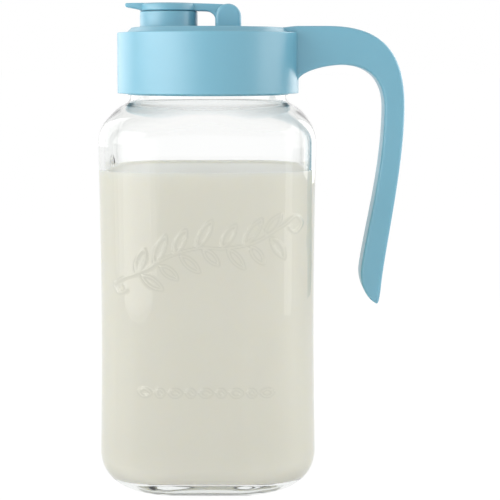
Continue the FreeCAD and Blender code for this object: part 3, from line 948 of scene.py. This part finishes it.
# How a piece is made, its finish, its body, the node it stands for and its material slot.
PIECES = [
    (glass_jar, GLASS, "pitcher", "jar", "clear_glass"),
    (milk_fill, MILK, "pitcher", "milk", "milk"),
    (lid_shell, BLUE, "pitcher", "lid", "blue_plastic"),
    (lid_spout, BLUE, "pitcher", "lid", "blue_plastic"),
    (lambda: hinge_lug("hinge_lug_front", -1), BLUE, "pitcher", "lid", "blue_plastic"),
    (lambda: hinge_lug("hinge_lug_back", 1), BLUE, "pitcher", "lid", "blue_plastic"),
    (handle, BLUE, "pitcher", "lid", "blue_plastic"),
    (flip_cap, BLUE, "cap", "flip_cap", "blue_plastic"),
]

for make, finish, body, stands_for, slot in PIECES:
    piece = make()
    wear(piece, finish)
    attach(piece, body)
    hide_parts(stands_for)


# ---------------------------------------------------------------- floor, lamps and camera

def seen_directly(tree):
    """1 for rays from the camera, from gloss and through glass, 0 for light on the object."""
    light = node(tree, "LightPath")
    most = light.outputs["Is Camera Ray"]
    for name in ("Is Glossy Ray", "Is Transmission Ray"):
        either = node(tree, "Math", operation="MAXIMUM")
        tree.links.new(most, either.inputs[0])
        tree.links.new(light.outputs[name], either.inputs[1])
        most = either.outputs[0]
    return most


def pale_floor():
    """A white sheet that keeps a soft shadow, and lights the object less than it shows."""
    floor = start("plane", "floor", size=60.0)
    made = bpy.data.materials.new("pale_floor")
    made.use_nodes = True
    tree = made.node_tree
    plain = tree.nodes["Principled BSDF"]
    plain.inputs["Base Color"].default_value = (0.92, 0.92, 0.92, 1)
    plain.inputs["Roughness"].default_value = 0.8
    glow = node(tree, "Emission")
    glow.inputs["Strength"].default_value = 1.06
    share = node(tree, "Math", operation="MULTIPLY_ADD")
    share.inputs[1].default_value = 0.55
    share.inputs[2].default_value = 0.35
    tree.links.new(seen_directly(tree), share.inputs[0])
    mix_shaders(tree, share.outputs[0], plain, glow, tree.nodes["Material Output"].inputs["Surface"])
    wear(floor, made)


def studio_world(strength):
    """White where it's seen, dimmer where it lights the object."""
    world = bpy.data.worlds.new("studio")
    bpy.context.scene.world = world
    world.use_nodes = True
    tree = world.node_tree
    dim = tree.nodes["Background"]
    dim.inputs["Color"].default_value = (1, 1, 1, 1)
    dim.inputs["Strength"].default_value = strength
    white = node(tree, "Background")
    white.inputs["Color"].default_value = (1, 1, 1, 1)
    white.inputs["Strength"].default_value = 1.0
    mix_shaders(tree, seen_directly(tree), dim, white, tree.nodes["World Output"].inputs["Surface"])


def softbox(name, azimuth, far, half_angle, low, high, radiance):
    """An upright lamp round the object: azimuth in degrees from the front, + to the right.

    It stands far away, spreads by half its angle to each side, and reaches from low to high, all
    in metres and degrees. It shows in reflections only.
    """
    wide = 2 * far * tan(radians(half_angle))
    tall = high - low
    data = bpy.data.lights.new(name, "AREA")
    data.shape = "RECTANGLE"
    data.size = wide
    data.size_y = tall
    data.energy = radiance * pi * wide * tall
    lamp = bpy.data.objects.new(name, data)
    bpy.context.scene.collection.objects.link(lamp)
    middle = Vector((0, 0, (low + high) / 2))
    lamp.location = middle + far * Vector((sin(radians(azimuth)), -cos(radians(azimuth)), 0))
    lamp.rotation_euler = (middle - lamp.location).to_track_quat("-Z", "Y").to_euler()
    lamp.visible_camera = lamp.visible_transmission = False
    return lamp


pale_floor()
studio_world(0.45)

LAMPS = (
    ("key_wide", -52, 0.66, 42, 0.0, 0.42, 0.45),
    ("key_middle", -50, 0.63, 34, 0.0, 0.40, 0.58),
    ("key_core", -48, 0.60, 24, 0.0, 0.38, 0.66),
    ("key_upper", -64, 0.66, 28, 0.20, 0.75, 1.7),
    ("left_back", -128, 0.66, 22, 0.14, 0.80, 1.3),
    ("right_strip", 70, 0.62, 7, 0.0, 0.45, 1.0),
    ("right_upper", 88, 0.64, 16, 0.14, 0.80, 1.4),
    ("right_back", 128, 0.64, 24, 0.10, 0.80, 1.9),
)
for lamp_settings in LAMPS:
    softbox(*lamp_settings)
softbox("front_fill", 5, 1.60, 25, 0.25, 1.20, 0.9).visible_glossy = False

# The camera's place in metres, its tilt in degrees, and its lens and sensor in millimetres.
CAMERA_FAR = 0.777
CAMERA_HIGH = 0.217
CAMERA_ACROSS = 0.0216
TILT = 5.55
LENS = 107.8344
SENSOR = 36.0
LENS_SHIFT = -0.08

camera_data = bpy.data.cameras.new("camera")
camera_data.sensor_width = SENSOR
camera_data.lens = LENS
camera_data.shift_y = LENS_SHIFT
camera_data.clip_start = 0.05
camera = bpy.data.objects.new("camera", camera_data)
bpy.context.scene.collection.objects.link(camera)
camera.location = (CAMERA_ACROSS, -CAMERA_FAR, CAMERA_HIGH)
camera.rotation_euler = (pi / 2 - radians(TILT), 0, 0)
bpy.context.scene.camera = camera
bpy.context.scene.view_settings.view_transform = "Standard"
